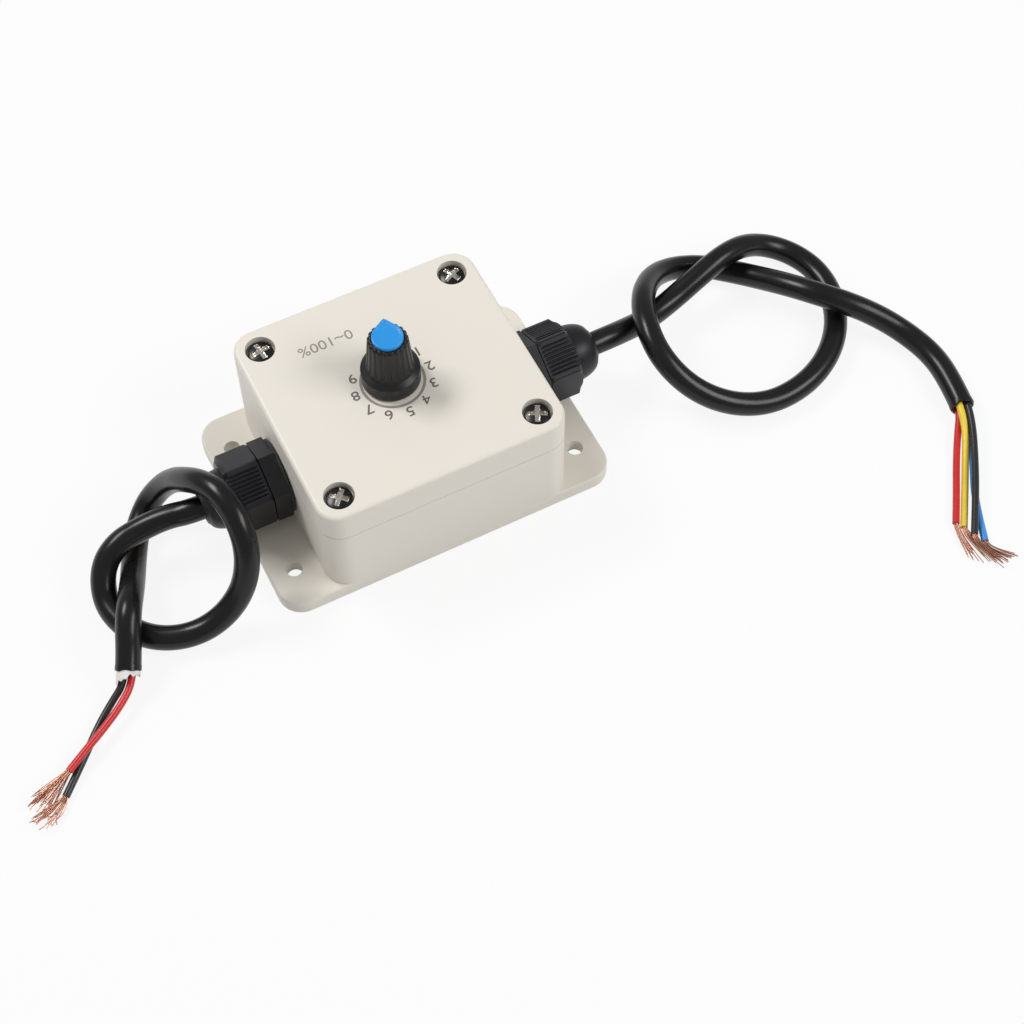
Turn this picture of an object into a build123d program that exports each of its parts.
"""Electronic speed controller for a small brushed motor, in millimetres.

A flanged two-piece plastic box holds the board. A rotary control with a numbered dial sits in
the lid. A cable gland on each side lets a round cable out: the power lead on +X, the motor lead
on -X. Both leads are tied in a loose overhand knot and lie on the surface the box stands on.
+Z is up and the origin is at the middle of the box's underside.
"""
from build123d import *
from math import atan, cos, degrees, pi, radians, sin, sqrt, tan
import os

# ---------------------------------------------------------------- box
BASE_L = 87.0            # flange, along X
BODY_L = 63.0            # body at the flange, along X
BODY_W = 58.0            # body and flange, along Y
BOX_H = 33.0             # underside to top of lid
FLANGE_T = 3.8
FLANGE_R = 6.0
BODY_R = 6.0
DRAFT = 0.6              # degrees, each side
WALL = 2.5
LID_T = 2.5
PARTING_Z = 24.4
LID_EDGE_R = 1.1
SEAM_D, SEAM_H = 0.22, 0.25    # open seam round the lid's lower edge
LIP_H = 1.8              # tongue of the lid inside the base
LIP_T = 1.2
LIP_GAP = 0.2
MOUNT_X, MOUNT_Y = 75.0, 38.0     # flange holes
MOUNT_R = 2.0
# ---------------------------------------------------------------- lid screws
SCREW_X, SCREW_Y = 50.0, 45.0
HEAD_R = 3.1
HEAD_H = 2.0
HEAD_SINK = 0.5          # head top below the lid's top
RECESS_R = 3.6
SHANK_R = 1.45
SHANK_GAP = 0.25
THREAD_R = 1.25
THREAD_GAP = 0.05
THREAD_L = 9.0
POST_R = 3.6
POST_GAP = 0.4           # the tongue is cut away round each post
BOSS_R = 5.0
DRIVE_W, DRIVE_L, DRIVE_D = 0.75, 3.6, 1.3
# ---------------------------------------------------------------- gasket
GASKET_W = 1.1
GASKET_H = 0.8
GASKET_GAP = 0.05
# ---------------------------------------------------------------- board
BOARD_X, BOARD_Y, BOARD_T = 42.0, 48.0, 1.6
STANDOFF_H = 4.7
STANDOFF_R = 2.6
BOARD_HOLE_INSET = 3.2
BOARD_SCREW_R = 1.0
# ---------------------------------------------------------------- rotary control and knob
DIAL_X, DIAL_Y = 1.0, -1.2
POT_R, POT_H = 8.2, 7.0
BUSH_R = 3.5
BUSH_UP = 3.4            # bushing above the lid
BUSH_GAP = 0.1
SHAFT_R = 3.0
SHAFT_TOP = 10.6         # above the lid
RUN_GAP = 0.05           # shaft in bushing
WASHER_R, WASHER_T = 5.6, 0.5
NUT_AF, NUT_T = 10.0, 2.0
KNOB_BASE_R = 7.0
KNOB_SKIRT_H = 4.7
KNOB_WAIST_R = 5.6
KNOB_TOP_R = 4.75
KNOB_LIFT = 0.5          # knob's underside above the lid
KNOB_TOP = 15.6          # black top above the lid
KNOB_NUT_GAP = 0.25         # round the nut's corners and over its top
KNOB_BORE_GAP = 0.02
FLUTES, FLUTE_R = 20, 0.55
CAP_R = 3.65
CAP_T = 1.0
CAP_TIP = 5.2
CAP_RIM, CAP_RIM_D = 0.6, 0.2
SPIGOT_R, SPIGOT_H, SPIGOT_GAP = 2.2, 2.0, 0.05
POINTER_DEG = -104.5     # rest direction of the pointer, from +X
# ---------------------------------------------------------------- glands
GLAND_Z = 14.5
SHANK_OUT_R = 7.5        # threaded shank through the wall
GLAND_HOLE_GAP = 0.15
SHANK_IN_L = 8.0         # shank, measured in from the washer
GLAND_WASHER_T = 0.7
GLAND_WASHER_R = 9.2
WALL_STANDOFF = 0.1
HEX_R = 10.0             # corner radius of the hexagons
HEX_L = 3.9
LOCK_L = 4.0
NECK_R, NECK_L = 6.7, 7.8
NECK_BORE_R = 5.4
BODY_BORE_R = 3.6
NUT_GAP = 0.25
NUT_RIB_L = 8.6
NUT_BORE_R = 6.95
DOME_L = 6.6
DOME_BASE_R = 7.2
DOME_NOSE_R = 4.3
RIB_PITCH, RIB_W, RIB_D = 1.0, 0.5, 0.35
SEAL_GAP = 0.05
SEAL_R = 5.3
CLAMP_L, CLAMP_R = 2.2, 5.2
# ---------------------------------------------------------------- cords
CABLE_R = 3.0
WIRE_R = 0.9
CORD_START = 47.0        # where the free cable begins, inside the gland's nose
ARC_SHARE = 0.45         # part of the shorter run that an arc may use
MOTOR_ROUTE = [
    (-54.9, 0.0, 14.5), (-62.8, -1.9, 11.6), (-70.4, -4.7, 7.8), (-78.4, -7.1, 7.5),
    (-86.3, -8.9, 9.6), (-94.3, -10.9, 11.2), (-102.2, -13.1, 9.8), (-109.9, -13.5, 5.9),
    (-116.5, -9.2, 3.4), (-119.6, -1.6, 3.0), (-119.0, 6.8, 3.0), (-115.8, 14.5, 3.05),
    (-110.5, 21.0, 3.05), (-103.6, 25.8, 3.0), (-95.7, 28.5, 3.0), (-87.3, 28.9, 3.2),
    (-79.4, 26.8, 4.8), (-72.6, 22.9, 7.8), (-67.5, 17.7, 11.8), (-64.8, 10.8, 15.7),
    (-65.6, 2.7, 17.2), (-68.8, -4.9, 15.8), (-73.4, -11.2, 12.3), (-79.1, -15.9, 8.4),
    (-86.2, -18.0, 4.7), (-94.0, -16.0, 3.0), (-100.3, -10.5, 3.1), (-104.2, -3.7, 6.0),
    (-107.5, 3.3, 9.4), (-111.7, 10.2, 11.3), (-117.9, 15.8, 9.9), (-123.9, 20.7, 6.9),
    (-129.0, 26.7, 3.8), (-131.6, 34.5, 3.0), (-131.3, 42.9, 3.05), (-129.6, 51.1, 3.0)]
POWER_ROUTE = [
    (54.1, 0.0, 14.5), (59.9, -2.7, 12.4), (66.3, -3.2, 11.0), (72.6, -2.3, 10.6),
    (77.7, 0.2, 7.6), (80.3, 5.8, 3.7), (79.6, 12.5, 3.0), (76.1, 18.6, 3.05),
    (70.5, 22.6, 3.0), (63.8, 24.4, 3.5), (57.3, 24.4, 6.0), (52.1, 23.3, 10.6),
    (48.9, 21.6, 16.5), (47.1, 18.4, 22.5), (46.9, 13.1, 27.3), (48.1, 6.7, 28.8),
    (50.7, 1.1, 26.9), (53.1, -3.9, 22.5), (55.1, -8.8, 16.7), (58.0, -12.2, 10.4),
    (62.3, -12.4, 5.2), (66.9, -7.8, 3.0), (70.0, -1.6, 3.05), (72.3, 4.7, 5.4),
    (74.3, 10.5, 9.0), (76.5, 15.8, 11.6), (78.6, 20.0, 9.9), (80.2, 23.3, 7.2),
    (81.9, 26.6, 5.4)]
# wires: (side, up) offset in the jacket's end face, then points on the way to the bare end
MOTOR_WIRES = {
    "red": ((-1.0, -1.0), [(-124.8, 57.0, 1.2), (-119.3, 64.8, 0.9), (-114.9, 71.5, 0.95), (-110.3, 78.2, 0.95)]),
    "yellow": ((-1.0, 1.0), [(-126.3, 58.0, 2.5), (-121.4, 65.6, 0.95), (-116.6, 72.6, 0.9), (-111.4, 80.0, 0.95)]),
    "black": ((1.0, 1.0), [(-127.9, 58.5, 3.5), (-123.1, 66.7, 3.0), (-117.9, 74.7, 2.9), (-111.8, 83.4, 2.4)]),
    "blue": ((1.0, -1.0), [(-127.9, 58.5, 1.3), (-123.0, 66.7, 0.95), (-118.0, 74.8, 0.9), (-113.8, 85.5, 0.95)]),
}
MOTOR_STRANDS = {"red": (-108.9, 89.4, 0.6), "yellow": (-113.2, 91.8, 0.6), "black": (-114.0, 92.6, 1.9),
                 "blue": (-117.3, 92.0, 0.6)}
POWER_WIRES = {
    "red": ((0.95, 0.0), [(86.7, 33.4, 3.3), (92.1, 36.8, 2.9), (97.6, 39.9, 2.85), (102.8, 43.0, 2.7)]),
    "black": ((-0.95, 0.0), [(88.4, 31.3, 2.2), (93.3, 34.9, 0.95), (99.0, 41.0, 0.9),
                            (105.6, 47.6, 0.95)]),
}
POWER_STRANDS = {"red": (114.0, 47.2, 1.0), "black": (110.8, 54.6, 0.6)}
STRAND_R = 0.42
LEAD_R = 0.58            # cores inside the box
END_GAP = 0.5           # bare strands start this far past the insulation
WRAP_L = 2.6             # paper wrap showing past the jacket
WRAP_R = 2.75
WRAP_BORE_R = 2.3
LEAD_OUT = {"motor": 1.6, "power": 3.4}      # straight length of each wire past the jacket

made = {}


def keep(name, shape):
    """Remember a finished piece under its node name."""
    made[name] = shape


def rounded_block(length, width, radius, z0, z1, taper=0.0):
    """Upright block with rounded corners, centred on Z, narrowing upwards by the taper angle."""
    sketch = Plane.XY.offset(z0) * RectangleRounded(length, width, radius)
    return extrude(sketch, amount=z1 - z0, taper=taper)


def cyl(x, y, z0, z1, r):
    """Upright cylinder between two heights."""
    return Pos(x, y, (z0 + z1) / 2) * Cylinder(r, z1 - z0)


def corners(dx, dy):
    """The four corners of a centred rectangle."""
    return [(sx * dx / 2, sy * dy / 2) for sx in (-1, 1) for sy in (-1, 1)]


def along_x(x0, x1, r, y=0.0, z=GLAND_Z):
    """Cylinder along X between two stations."""
    return Pos((x0 + x1) / 2, y, z) * Rot(0, 90, 0) * Cylinder(r, abs(x1 - x0))


def hex_x(x0, x1, corner_r):
    """Hexagonal prism along X with a corner pointing up."""
    outline = Pos(min(x0, x1), 0, GLAND_Z) * (Plane.YZ * RegularPolygon(corner_r, 6, rotation=90))
    return extrude(outline, amount=abs(x1 - x0), dir=(1, 0, 0))


# ---------------------------------------------------------------- housing
inner_l, inner_w = BODY_L - 2 * WALL, BODY_W - 2 * WALL
inner_r = BODY_R - WALL
flange = rounded_block(BASE_L, BODY_W, FLANGE_R, 0, FLANGE_T)
for x, y in corners(MOUNT_X, MOUNT_Y):
    flange -= cyl(x, y, -1, FLANGE_T + 1, MOUNT_R)
flange = fillet(flange.edges().filter_by(GeomType.LINE).group_by(Axis.Z)[-1], 0.5)
outer = rounded_block(BODY_L, BODY_W - 0.02, BODY_R, 0, BOX_H, DRAFT)
cavity = rounded_block(inner_l, inner_w, inner_r, FLANGE_T, BOX_H - LID_T)
below = Pos(0, 0, PARTING_Z / 2) * Box(BASE_L * 2, BODY_W * 2, PARTING_Z)
above = Pos(0, 0, PARTING_Z + BOX_H / 2) * Box(BASE_L * 2, BODY_W * 2, BOX_H)

shrink = PARTING_Z * tan(radians(DRAFT))          # each side, at the parting line
rim_mid_l = BODY_L - WALL - shrink
rim_mid_w = BODY_W - WALL - shrink
rim_r = BODY_R - WALL / 2


def rim_ring(width, z0, z1):
    """Ring that runs round the middle of the wall."""
    out = rounded_block(rim_mid_l + width, rim_mid_w + width, rim_r + width / 2, z0, z1)
    return out - rounded_block(rim_mid_l - width, rim_mid_w - width, rim_r - width / 2, z0 - 1, z1 + 1)


thread_top = PARTING_Z
post_bottom = FLANGE_T - 0.5
base = flange + (outer & below)
base -= cavity
for x, y in corners(SCREW_X, SCREW_Y):
    post = cyl(x, y, post_bottom, thread_top, POST_R)
    base += post & rounded_block(inner_l + 1, inner_w + 1, inner_r, 0, BOX_H)
for x, y in corners(SCREW_X, SCREW_Y):
    base -= cyl(x, y, thread_top - THREAD_L - 0.5, thread_top + 1, THREAD_R + THREAD_GAP)
board_z = FLANGE_T + STANDOFF_H
board_holes = corners(BOARD_X - 2 * BOARD_HOLE_INSET, BOARD_Y - 2 * BOARD_HOLE_INSET)
for x, y in board_holes:
    base += cyl(x, y, FLANGE_T - 0.5, board_z, STANDOFF_R)
for x, y in board_holes:
    base -= cyl(x, y, FLANGE_T + 0.6, board_z + 1, BOARD_SCREW_R + THREAD_GAP)
for s in (-1, 1):
    base -= along_x(s * (BODY_L / 2 - WALL - 1), s * (BODY_L / 2 + 1), SHANK_OUT_R + GLAND_HOLE_GAP)
base -= rim_ring(GASKET_W + 2 * GASKET_GAP, PARTING_Z - GASKET_H, PARTING_Z + 1)
keep("base_housing", base)
keep("lid_gasket", rim_ring(GASKET_W, PARTING_Z - GASKET_H, PARTING_Z))

# ---------------------------------------------------------------- lid
shell = outer & above
shell = fillet(shell.faces().sort_by(Axis.Z)[-1].edges(), LID_EDGE_R)
lip_off = 2 * LIP_GAP
tongue = rounded_block(inner_l - lip_off, inner_w - lip_off, inner_r - LIP_GAP,
                       PARTING_Z - LIP_H, PARTING_Z + LIP_H / 2)
lid = shell + tongue
lip_off += 2 * LIP_T
ledge_z = PARTING_Z + LIP_H


def lid_void(z0, z1):
    """Room inside the lid's tongue between two heights."""
    return rounded_block(inner_l - lip_off, inner_w - lip_off, inner_r - LIP_GAP - LIP_T, z0, z1)


bosses = [cyl(x, y, PARTING_Z, BOX_H, BOSS_R) for x, y in corners(SCREW_X, SCREW_Y)]
lid -= lid_void(PARTING_Z - LIP_H - 1, PARTING_Z)
lid -= lid_void(PARTING_Z, ledge_z) - bosses
lid -= rounded_block(inner_l, inner_w, inner_r, ledge_z, BOX_H - LID_T) - bosses
lock_top = GLAND_Z + HEX_R + LIP_GAP
for s in (-1, 1):          # the tongue is notched where the gland's locknut stands
    lid -= Pos(s * (inner_l / 2 - LOCK_L), 0, lock_top - 3) * Box(2 * LOCK_L, 2 * HEX_R + 1, 6)
head_z = BOX_H - HEAD_SINK - HEAD_H
for x, y in corners(SCREW_X, SCREW_Y):
    lid -= cyl(x, y, PARTING_Z - LIP_H - 1, PARTING_Z, POST_R + POST_GAP)
    lid -= cyl(x, y, PARTING_Z - 1, BOX_H + 1, SHANK_R + SHANK_GAP)
    lid -= cyl(x, y, head_z, BOX_H + 1, RECESS_R)
lid -= cyl(DIAL_X, DIAL_Y, BOX_H - LID_T - 1, BOX_H + 1, BUSH_R + BUSH_GAP)
seam_l, seam_w = BODY_L - 2 * shrink - 2 * SEAM_D, BODY_W - 2 * shrink - 2 * SEAM_D
seam = rounded_block(BODY_L + 4, BODY_W + 4, BODY_R, PARTING_Z, PARTING_Z + SEAM_H)
lid -= seam - rounded_block(seam_l, seam_w, BODY_R - SEAM_D, PARTING_Z - 1, PARTING_Z + SEAM_H + 1)
keep("lid", lid)

screws = []
for x, y in corners(SCREW_X, SCREW_Y):
    head = cyl(x, y, head_z, head_z + HEAD_H, HEAD_R)
    head = fillet(head.edges().group_by(Axis.Z)[-1], 0.9)
    slot = Pos(x, y, head_z + HEAD_H - DRIVE_D / 2 + 0.05) * Box(DRIVE_L, DRIVE_W, DRIVE_D + 0.1)
    head -= slot
    head -= Pos(x, y, 0) * Rot(0, 0, 90) * Pos(-x, -y, 0) * slot
    screw = head + cyl(x, y, thread_top, head_z, SHANK_R)
    screw += cyl(x, y, thread_top - THREAD_L, thread_top, THREAD_R)
    screws.append(screw)
keep("lid_screws", Compound(children=screws))

# ---------------------------------------------------------------- rotary control
lid_under = BOX_H - LID_T
pot_z = lid_under - POT_H


def at_dial(shape):
    """Place a piece that is drawn about Z at the dial's centre."""
    return Pos(DIAL_X, DIAL_Y, 0) * shape


def tube(z0, z1, r_out, r_in):
    """Upright ring about Z."""
    return cyl(0, 0, z0, z1, r_out) - cyl(0, 0, z0 - 1, z1 + 1, r_in)


pot = cyl(0, 0, pot_z, lid_under, POT_R)
pot -= cyl(0, 0, pot_z + 1.2, lid_under + 1, POT_R - 1.0)
pot += tube(lid_under - 1.2, lid_under, POT_R, SHAFT_R + RUN_GAP)
keep("pot_body", at_dial(pot))
bushing = tube(lid_under, BOX_H + BUSH_UP, BUSH_R, SHAFT_R + RUN_GAP)
keep("pot_bushing", at_dial(bushing))
keep("pot_washer", at_dial(tube(BOX_H, BOX_H + WASHER_T, WASHER_R, BUSH_R + BUSH_GAP)))
nut_z = BOX_H + WASHER_T
nut = extrude(Plane.XY.offset(nut_z) * RegularPolygon(NUT_AF / 2, 6, major_radius=False), amount=NUT_T)
nut -= cyl(0, 0, nut_z - 1, nut_z + NUT_T + 1, BUSH_R + 0.05)
keep("pot_nut", at_dial(nut))
shaft = cyl(0, 0, lid_under - 2.6, BOX_H + SHAFT_TOP, SHAFT_R)
shaft = chamfer(shaft.edges().group_by(Axis.Z)[-1], 0.4)
flat_z0 = BOX_H + BUSH_UP + 0.8
shaft -= Pos(SHAFT_R + SHAFT_R / 2, 0, flat_z0 + 10) * Box(2 * SHAFT_R, 4 * SHAFT_R, 20)
keep("pot_shaft", at_dial(Rot(0, 0, POINTER_DEG) * shaft))
wiper = tube(lid_under - 3.6, lid_under - 2.6, POT_R - 1.6, 0.8)
wiper -= Pos(0, POT_R, lid_under - 3.1) * Box(4 * POT_R, 2 * POT_R - 5.0, 4)
keep("pot_wiper", at_dial(wiper))
track = tube(pot_z + 1.2, pot_z + 1.8, POT_R - 1.2, 3.6)
keep("pot_track", at_dial(track))
legs = [Pos(DIAL_X + k * 4.0, DIAL_Y + POT_R + 1.6, pot_z + 0.6) * Box(1.2, 3.2, 0.6) for k in (-1, 0, 1)]
keep("pot_terminals", Compound(children=legs))

# ---------------------------------------------------------------- knob
kz0, kz1 = BOX_H + KNOB_LIFT, BOX_H + KNOB_TOP
profile = Plane.XZ * make_face(Polyline(
    (0, kz0), (KNOB_BASE_R - 0.3, kz0), (KNOB_BASE_R, kz0 + 0.3), (KNOB_BASE_R, kz0 + KNOB_SKIRT_H - 0.8),
    (KNOB_WAIST_R + 0.1, kz0 + KNOB_SKIRT_H), (KNOB_WAIST_R, kz0 + KNOB_SKIRT_H + 0.2),
    (KNOB_TOP_R, kz1 - 0.5), (KNOB_TOP_R - 0.5, kz1), (0, kz1), (0, kz0)))
knob = revolve(profile, Axis.Z)
slope = (KNOB_WAIST_R - KNOB_TOP_R) / (KNOB_TOP - KNOB_LIFT - KNOB_SKIRT_H)
mid_z = (kz0 + KNOB_SKIRT_H + 1.0 + kz1 + 4) / 2
mid_r = KNOB_TOP_R + (kz1 - mid_z) * slope
flute_l = kz1 + 4 - (kz0 + KNOB_SKIRT_H + 1.0)
for k in range(FLUTES):
    knob -= Rot(0, 0, (k + 0.5) * 360 / FLUTES) * Pos(mid_r + 0.18, 0, mid_z) \
        * Rot(0, -degrees(atan(slope)), 0) * Cylinder(FLUTE_R, flute_l)
nut_corner_r = NUT_AF / 2 / cos(radians(30))
knob -= cyl(0, 0, kz0 - 1, nut_z + NUT_T + KNOB_NUT_GAP, nut_corner_r + KNOB_NUT_GAP)
knob -= cyl(0, 0, kz0 - 1, BOX_H + BUSH_UP + KNOB_NUT_GAP, BUSH_R + KNOB_NUT_GAP)
bore = cyl(0, 0, kz0, BOX_H + SHAFT_TOP + 0.3, SHAFT_R + KNOB_BORE_GAP)
bore -= Pos(SHAFT_R + SHAFT_R / 2 + KNOB_BORE_GAP, 0, flat_z0 + 10.05) * Box(2 * SHAFT_R, 4 * SHAFT_R, 20)
knob -= bore
knob -= cyl(0, 0, kz1 - SPIGOT_H - 0.1, kz1 + 1, SPIGOT_R + SPIGOT_GAP)
keep("knob_body", at_dial(Rot(0, 0, POINTER_DEG) * knob))
touch = CAP_R * CAP_R / CAP_TIP
touch_y = sqrt(CAP_R * CAP_R - touch * touch)
drop = Plane.XY.offset(kz1) * (Circle(CAP_R) + make_face(Polyline(
    (0, 0), (touch, touch_y), (CAP_TIP, 0), (touch, -touch_y), (0, 0))))
cap = extrude(drop, amount=CAP_T)
cap = fillet(cap.edges().group_by(Axis.Z)[-1], 0.3)
dish = Plane.XY.offset(kz1 + CAP_T - CAP_RIM_D) * Circle(CAP_R - CAP_RIM)
cap -= extrude(dish, amount=CAP_RIM_D + 1)
cap += cyl(0, 0, kz1 - SPIGOT_H, kz1 + 0.2, SPIGOT_R)
keep("knob_pointer_cap", at_dial(Rot(0, 0, POINTER_DEG) * cap))

# ---------------------------------------------------------------- board and its parts
board = Pos(0, 0, board_z + BOARD_T / 2) * Box(BOARD_X, BOARD_Y, BOARD_T)
for x, y in board_holes:
    board -= cyl(x, y, board_z - 1, board_z + BOARD_T + 1, BOARD_SCREW_R + 0.15)
keep("circuit_board", board)
top = board_z + BOARD_T
keep("board_screws", Compound(children=[
    cyl(x, y, top, top + 1.2, 1.9) + cyl(x, y, FLANGE_T + 1.2, top, BOARD_SCREW_R) for x, y in board_holes]))


def on_board(x, y, lx, ly, h, lift=0.0):
    """Rectangular part standing on the board."""
    return Pos(x, y, top + lift + h / 2) * Box(lx, ly, h)


keep("smoothing_capacitors", Compound(children=[
    fillet(cyl(x, -15.5, top, top + 11.0, 4.0).edges().group_by(Axis.Z)[-1], 0.5) for x in (-4.6, 4.6)]))
fins = on_board(0, 20.6, 24, 1.6, 15.0)
for k in range(-3, 4):
    fins += on_board(k * 3.6, 22.6, 1.0, 2.6, 15.0)
keep("heatsink", fins)
keep("power_transistors", Compound(children=[
    on_board(x, 17.5, 10.0, 4.4, 9.2, 3.0) + on_board(x, 17.7, 2.6, 0.9, 3.0) for x in (-6.2, 6.2)]))
keep("control_chip", on_board(0, 2.0, 9.8, 6.4, 3.4, 0.4) + on_board(0, 2.0, 8.8, 7.6, 0.4))
coil = Pos(0, -5.6, top + 2.5) * (Cylinder(3.4, 5.0) - Cylinder(1.2, 6.0))
keep("choke_coil", coil)


def terminal(x, ways, pitch=4.0):
    """Screw terminal block with open wire entries facing outwards."""
    s = 1 if x > 0 else -1
    block = on_board(x, 0, 6.4, ways * pitch + 1.0, 8.0)
    for k in range(ways):
        yk = (k - (ways - 1) / 2) * pitch
        block -= along_x(x + s * 3.3, x - s * 1.0, 1.3, yk, top + 2.2)
        block -= cyl(x, yk, top + 4.6, top + 9.0, 1.5)
    return block


TERM_X = 17.2
keep("power_terminal", terminal(TERM_X, 2))
keep("motor_terminal", terminal(-TERM_X, 4))

# ---------------------------------------------------------------- glands
face = BODY_L / 2 + WALL_STANDOFF
hex_x0 = face + GLAND_WASHER_T
hex_x1 = hex_x0 + HEX_L
nut_x0 = hex_x1 + NUT_GAP
nut_x1 = nut_x0 + NUT_RIB_L
nose_x = nut_x1 + DOME_L
neck_x1 = hex_x1 + NECK_L
apothem = HEX_R * cos(radians(30))


def spin_x(points, side):
    """Turned solid about the gland's axis from (station, radius) points."""
    outline = Plane.XY * make_face(Polyline(*points, points[0]))
    solid = Pos(0, 0, GLAND_Z) * revolve(outline, Axis.X)
    return solid if side > 0 else mirror(solid, about=Plane.YZ)


def gland(side, tag, ribbed):
    """The six pieces of one cable gland on the +X or -X wall."""
    def place(shape):
        return shape if side > 0 else mirror(shape, about=Plane.YZ)

    body = hex_x(hex_x0, hex_x1, HEX_R)
    body += along_x(hex_x0 - SHANK_IN_L, hex_x0, SHANK_OUT_R)
    body += along_x(hex_x1, neck_x1, NECK_R)
    body -= along_x(hex_x0 - SHANK_IN_L - 1, neck_x1 + 1, BODY_BORE_R)
    body -= along_x(hex_x1, neck_x1 + 1, NECK_BORE_R)
    keep(tag + "_gland_body", place(body))
    wall_in = BODY_L / 2 - WALL
    lock = hex_x(wall_in - LOCK_L, wall_in, HEX_R) - along_x(wall_in - LOCK_L - 1, wall_in + 1,
                                                             SHANK_OUT_R + SEAL_GAP)
    keep(tag + "_gland_locknut", place(lock))
    ring = along_x(face, hex_x0, GLAND_WASHER_R) - along_x(face - 1, hex_x0 + 1, SHANK_OUT_R + SEAL_GAP)
    keep(tag + "_gland_washer", place(ring))
    seal = along_x(hex_x1 + 0.3, neck_x1, SEAL_R) - along_x(hex_x1, neck_x1 + 1, CABLE_R + SEAL_GAP)
    keep(tag + "_gland_seal", place(seal))
    clamp = along_x(neck_x1, neck_x1 + CLAMP_L, CLAMP_R)
    clamp -= along_x(neck_x1 - 1, neck_x1 + CLAMP_L + 1, CABLE_R + SEAL_GAP)
    for k in range(6):
        clamp -= Pos(neck_x1 + CLAMP_L, 0, GLAND_Z) * Rot(k * 60, 0, 0) * Pos(0, 0, CLAMP_R) \
            * Box(2 * CLAMP_L - 1.6, 0.5, 4.4)
    keep(tag + "_gland_clamp", place(clamp))
    cap_nut = hex_x(nut_x0, nut_x1, HEX_R)
    turned = [(nut_x0, 0), (nut_x0, HEX_R - 0.1), (nut_x1 - 0.9, HEX_R + 0.1), (nut_x1, apothem - 0.1),
              (nut_x1, 0)]
    cap_nut &= spin_x(turned, 1)
    dome = [(nut_x1 - 0.5, 0), (nut_x1 - 0.5, DOME_BASE_R)]
    for k in range(8):
        a = radians(k * 90 / 8)
        dome.append((nut_x1 + DOME_L * sin(a), DOME_NOSE_R + (DOME_BASE_R - DOME_NOSE_R) * cos(a)))
    dome += [(nose_x, DOME_NOSE_R), (nose_x, 0)]
    cap_nut += spin_x(dome, 1)
    hollow = [(nut_x0 - 1, 0), (nut_x0 - 1, NUT_BORE_R), (neck_x1 + 0.3, NUT_BORE_R),
              (neck_x1 + CLAMP_L + 0.3, CLAMP_R + 0.3), (neck_x1 + CLAMP_L + 0.3, 0)]
    cap_nut -= spin_x(hollow, 1)
    cap_nut -= along_x(nut_x0, nose_x + 1, CABLE_R + 0.35)
    cuts = []
    count = int(HEX_R / RIB_PITCH) - 2
    for a in ribbed:
        for k in range(count):
            off = (k - (count - 1) / 2) * RIB_PITCH
            cuts.append(Pos((nut_x0 + nut_x1) / 2, 0, GLAND_Z) * Rot(a - 90, 0, 0)
                        * Pos(0.7, off, apothem) * Box(NUT_RIB_L - 0.2, RIB_W, 2 * RIB_D))
    cap_nut -= cuts
    keep(tag + "_gland_nut", place(cap_nut))


gland(1, "power", (60, 180, 240))
gland(-1, "motor", (60, 120, 240))


# ---------------------------------------------------------------- cords
def swept(points, radius, arc_share=ARC_SHARE, label=""):
    """Round tube along straight runs joined by tangent arcs."""
    pts = [Vector(*p) for p in points]
    radii = []
    for a, b, c in zip(pts, pts[1:], pts[2:]):
        turn = radians((b - a).get_angle(c - b))
        radii.append(arc_share * min((b - a).length, (c - b).length) / tan(turn / 2))
    path = FilletPolyline(*pts, radius=radii) if len(pts) > 2 else Polyline(*pts)
    start = Plane(origin=path @ 0, z_dir=path % 0)
    solid = sweep(start * Circle(radius), path=path)
    if label:
        share = solid.volume / (pi * radius * radius * path.length)
        print(label, "length", round(path.length, 1), "volume share", round(share, 4),
              "radii", [round(r, 1) for r in radii])
    return solid


def tail(side, tag):
    """Cable inside the gland, from the box's inside to where the free cable begins."""
    keep(tag + "_cable_tail", along_x(side * (hex_x0 - SHANK_IN_L + 0.5), side * CORD_START, CABLE_R))


for side, tag, route in ((1, "power", POWER_ROUTE), (-1, "motor", MOTOR_ROUTE)):
    tail(side, tag)
    keep(tag + "_cable", swept([(side * CORD_START, 0, GLAND_Z)] + route, CABLE_R, label=tag + "_cable"))


def end_frame(route):
    """Plane on the far end of a cable: X to the side, Y up, Z onwards."""
    end, before = Vector(*route[-1]), Vector(*route[-2])
    ahead = (end - before).normalized()
    side = Vector(-ahead.Y, ahead.X, 0).normalized()
    return Plane(origin=end, x_dir=side, z_dir=ahead)


def strands(wire, far):
    """Plain rod that stands in for one wire's bare strands."""
    a, b = Vector(*wire[-1]), Vector(*far)
    ahead = (b - a).normalized()
    length = (b - a).length - END_GAP
    return Plane(origin=a + ahead * END_GAP, z_dir=ahead) * (Pos(0, 0, length / 2) * Cylinder(STRAND_R, length))


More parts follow.
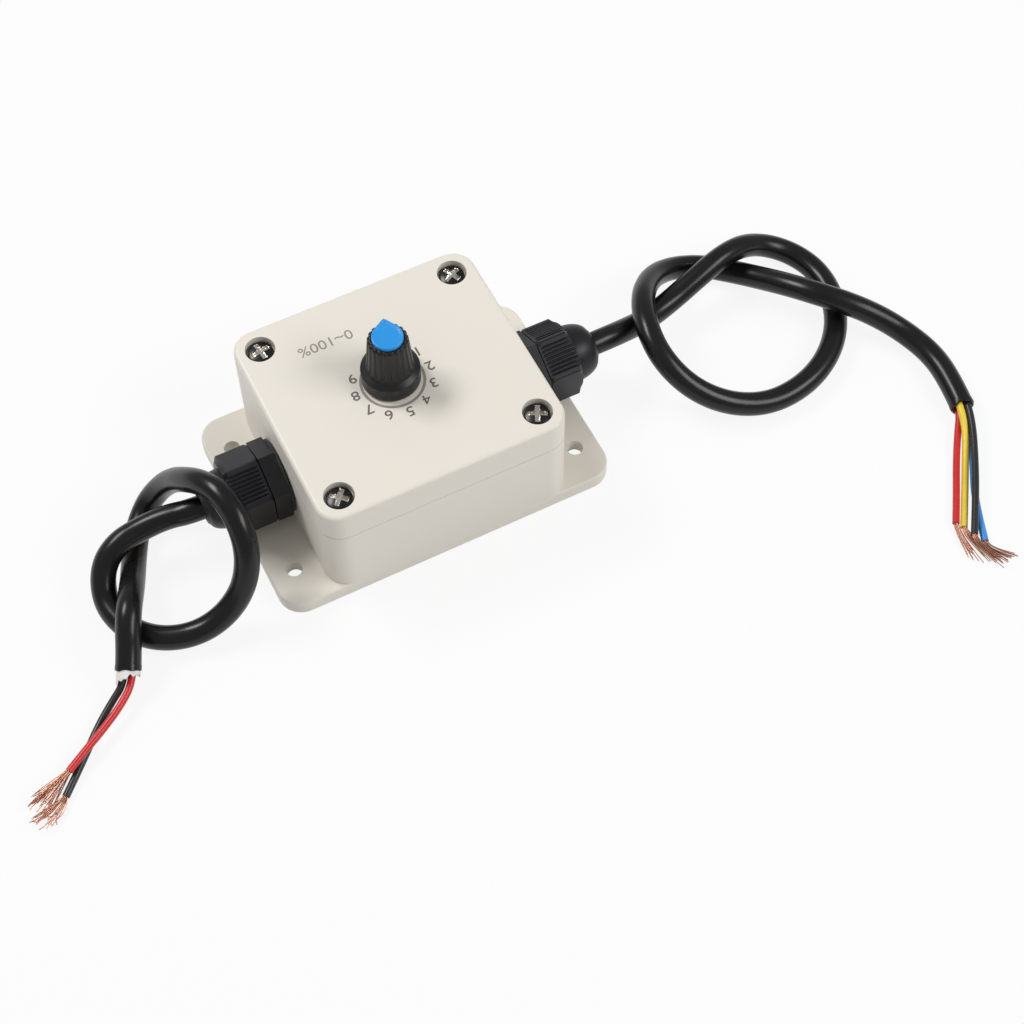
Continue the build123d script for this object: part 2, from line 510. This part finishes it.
def bundle(tag, wires, ends, route):
    """The wires that come out of a jacket, each with its bare strands."""
    frame = end_frame(route)
    for colour, (offset, rest) in wires.items():
        start = frame.from_local_coords(Vector(*offset, 0))
        leave = frame.from_local_coords(Vector(*offset, LEAD_OUT[tag]))
        pts = [tuple(start), tuple(leave)] + rest
        keep(f"{tag}_wire_{colour}", swept(pts, WIRE_R, label=f"{tag}_wire_{colour}"))
        keep(f"{tag}_strands_{colour}", strands(pts, ends[colour]))


bundle("motor", MOTOR_WIRES, MOTOR_STRANDS, MOTOR_ROUTE)
bundle("power", POWER_WIRES, POWER_STRANDS, POWER_ROUTE)
wrap = Pos(0, 0, WRAP_L / 2) * (Cylinder(WRAP_R, WRAP_L) - Cylinder(WRAP_BORE_R, 2 * WRAP_L))
keep("power_paper_wrap", end_frame(POWER_ROUTE) * wrap)

# inner leads
lead_z = top + 2.2
inner_x = hex_x0 - SHANK_IN_L + 0.5
leads = []
for tag, side, ways in (("power", 1, 2), ("motor", -1, 4)):
    parts = []
    for k in range(ways):
        yk = (k - (ways - 1) / 2) * 4.0
        if ways == 4:
            yc, zc = (-0.98 if k < 2 else 0.98), (0.98 if k in (1, 2) else -0.98)
        else:
            yc, zc = (k - 0.5) * 2.2, 0
        parts.append(swept([(side * inner_x, yc, GLAND_Z + zc), (side * (inner_x - 1.2), yc, GLAND_Z + zc),
                            (side * (TERM_X + 3.4), yk, lead_z), (side * (TERM_X + 0.4), yk, lead_z)],
                           LEAD_R, 0.4))
    keep(tag + "_inner_leads", Compound(children=parts))
leg_y = DIAL_Y + POT_R + 2.6
keep("control_leads", Compound(children=[
    swept([(DIAL_X + k * 4.0, leg_y, pot_z + 0.3), (DIAL_X + k * 4.0, leg_y, pot_z - 3),
           (DIAL_X + k * 2.54, leg_y - 0.5, top + 4), (DIAL_X + k * 2.54, leg_y - 0.5, top)], 0.5, 0.4)
    for k in (-1, 0, 1)]))

os.makedirs("parts", exist_ok=True)
for name, shape in made.items():
    export_step(shape, f"parts/{name}.step")
print(len(made), "nodes")
